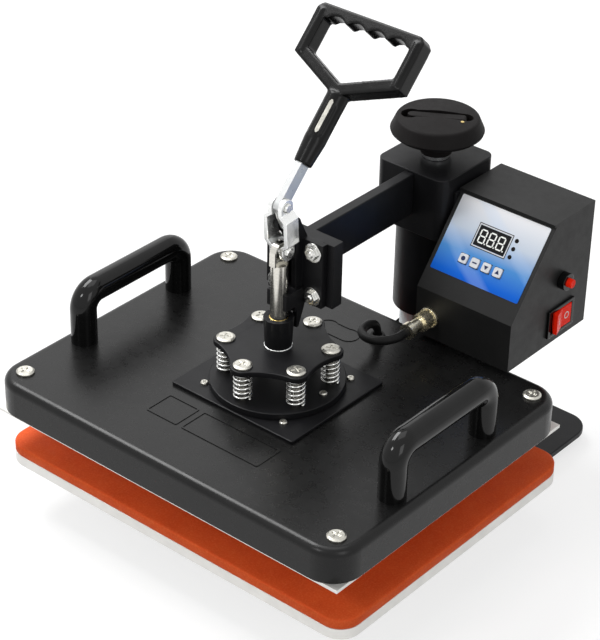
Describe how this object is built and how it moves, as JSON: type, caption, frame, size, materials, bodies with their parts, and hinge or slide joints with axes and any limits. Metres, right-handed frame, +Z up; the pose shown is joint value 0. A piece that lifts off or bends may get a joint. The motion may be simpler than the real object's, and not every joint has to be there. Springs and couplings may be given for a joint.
{
  "type": "swing-away heat press",
  "caption": "Bench heat press: a sprung heating head on a swing arm is pressed onto a silicone pad by a lever toggle, with a control box on the arm.",
  "frame": {"origin": "on the table, under the middle of the outer box", "axes": "+Z up, -Y towards the operator, +X to the operator's right"},
  "size_m": [0.387, 0.437, 0.437],
  "materials": {
    "satin_black": "satin black powder coat",
    "gloss_black": "glossy moulded plastic",
    "matte_black": "matte moulded plastic",
    "rubber_black": "matt rubber",
    "zinc": "bright zinc plate",
    "nickel": "bright nickel plate",
    "steel": "ground steel",
    "aluminium": "milled aluminium",
    "silicone": "soft orange silicone sponge",
    "brass": "turned brass",
    "panel_sheet": "printed overlay, light grey to blue",
    "display_glass": "dark tinted window",
    "red": "glossy red",
    "key_white": "off-white key cap",
    "board": "green circuit board",
    "wool": "ceramic wool"
  },
  "bodies": {
    "base": {"base_plate": "satin_black", "rubber_feet": "rubber_black", "column_post": "steel", "post_foot": "satin_black", "post_bolts": "zinc", "platen_stand": "satin_black", "stand_bolts": "zinc", "lower_platen": "aluminium", "silicone_pad": "silicone"},
    "swivel": {"swivel_nut": "steel"},
    "arm": {"swing_sleeve": "satin_black", "head_block": "satin_black", "arm_bar": "satin_black", "end_plate": "satin_black", "guide_bracket": "satin_black", "bracket_bolts": "zinc", "lever_pivot": "steel", "box_hanger": "satin_black", "box_shell": "satin_black", "box_back_cover": "satin_black", "panel_overlay": "panel_sheet", "circuit_board": "board", "display": "display_glass", "lamps": "red", "rocker_bezel": "gloss_black", "breaker_body": "gloss_black", "lead_socket": "nickel", "lead_plug": "nickel", "heater_lead": "rubber_black", "mains_inlet": "matte_black"},
    "key_a": {"key_1": "key_white"},
    "key_b": {"key_2": "key_white"},
    "key_c": {"key_3": "key_white"},
    "key_d": {"key_4": "key_white"},
    "rocker": {"rocker": "red"},
    "button": {"breaker_button": "red"},
    "knob": {"height_screw": "steel", "knob": "matte_black", "crank_pin": "brass"},
    "crank": {"knob_crank": "matte_black"},
    "lever": {"lever_bar": "zinc", "lever_grip": "gloss_black", "link_pin": "zinc"},
    "links": {"link_plates": "zinc", "tongue_pin": "zinc"},
    "plunger": {"plunger_rod": "nickel", "rod_socket": "satin_black", "flower_plate": "satin_black"},
    "head": {"float_springs": "zinc", "spring_bolts": "zinc", "spring_disc": "satin_black", "square_plate": "satin_black", "plate_screws": "zinc", "head_cover": "satin_black", "cover_screws": "zinc", "handle_left": "gloss_black", "handle_right": "gloss_black", "heat_platen": "aluminium", "insulation": "wool", "lead_grommet": "rubber_black"}
  },
  "joints": [
    {"name": "arm_swing", "type": "hinge", "parent": "base", "child": "swivel", "pos_m": [0, 0.1435, 0.239], "axis": [0, 0, 1], "range_deg": [-95, 95]},
    {"name": "arm_height", "type": "slide", "parent": "swivel", "child": "arm", "axis": [0, 0, 1], "range_m": [-0.006, 0.012]},
    {"name": "knob_turn", "type": "hinge", "parent": "arm", "child": "knob", "pos_m": [0, 0.1435, 0.29], "axis": [0, 0, 1], "range_deg": [-541, 1081]},
    {"name": "crank_fold", "type": "hinge", "parent": "knob", "child": "crank", "pos_m": [0.01866, 0.15516, 0.3097], "axis": [-0.5299, 0.848, 0], "range_deg": [0, 90]},
    {"name": "plunger_slide", "type": "slide", "parent": "arm", "child": "plunger", "axis": [0, 0, -1], "range_m": [0, 0.026], "deforming": ["heater_lead"]},
    {"name": "platen_float", "type": "slide", "parent": "plunger", "child": "head", "axis": [0, 0, 1], "range_m": [0, 0.004], "stiffness_N_per_m": 30000, "springref_m": -0.006, "deforming": ["float_springs"]},
    {"name": "lever_swing", "type": "hinge", "parent": "arm", "child": "lever", "pos_m": [0, -0.05699, 0.2895], "axis": [1, 0, 0], "range_deg": [0, 90]},
    {"name": "link_swing", "type": "hinge", "parent": "lever", "child": "links", "pos_m": [0, -0.0665, 0.30989], "axis": [1, 0, 0], "range_deg": [-75.3, 0]},
    {"name": "key_a_press", "type": "slide", "parent": "arm", "child": "key_a", "axis": [0, 0.7814, -0.6241], "range_m": [0, 0.0006], "stiffness_N_per_m": 800, "springref_m": -0.0003},
    {"name": "key_b_press", "type": "slide", "parent": "arm", "child": "key_b", "axis": [0, 0.7814, -0.6241], "range_m": [0, 0.0006], "stiffness_N_per_m": 800, "springref_m": -0.0003},
    {"name": "key_c_press", "type": "slide", "parent": "arm", "child": "key_c", "axis": [0, 0.7814, -0.6241], "range_m": [0, 0.0006], "stiffness_N_per_m": 800, "springref_m": -0.0003},
    {"name": "key_d_press", "type": "slide", "parent": "arm", "child": "key_d", "axis": [0, 0.7814, -0.6241], "range_m": [0, 0.0006], "stiffness_N_per_m": 800, "springref_m": -0.0003},
    {"name": "rocker_tip", "type": "hinge", "parent": "arm", "child": "rocker", "pos_m": [0.1405, 0.1455, 0.164], "axis": [0, 0, 1], "range_deg": [-18, 0]},
    {"name": "button_press", "type": "slide", "parent": "arm", "child": "button", "axis": [-1, 0, 0], "range_m": [0, 0.0025], "stiffness_N_per_m": 1200, "springref_m": -0.0005}
  ],
  "couplings": [
    {"joint": "knob_turn", "follows": "arm_height", "rad_per_m": 1570.8},
    {"joint": "lever_swing", "follows": "plunger_slide", "rad_per_m": 60.415},
    {"joint": "link_swing", "follows": "plunger_slide", "rad_per_m": -50.48}
  ]
}
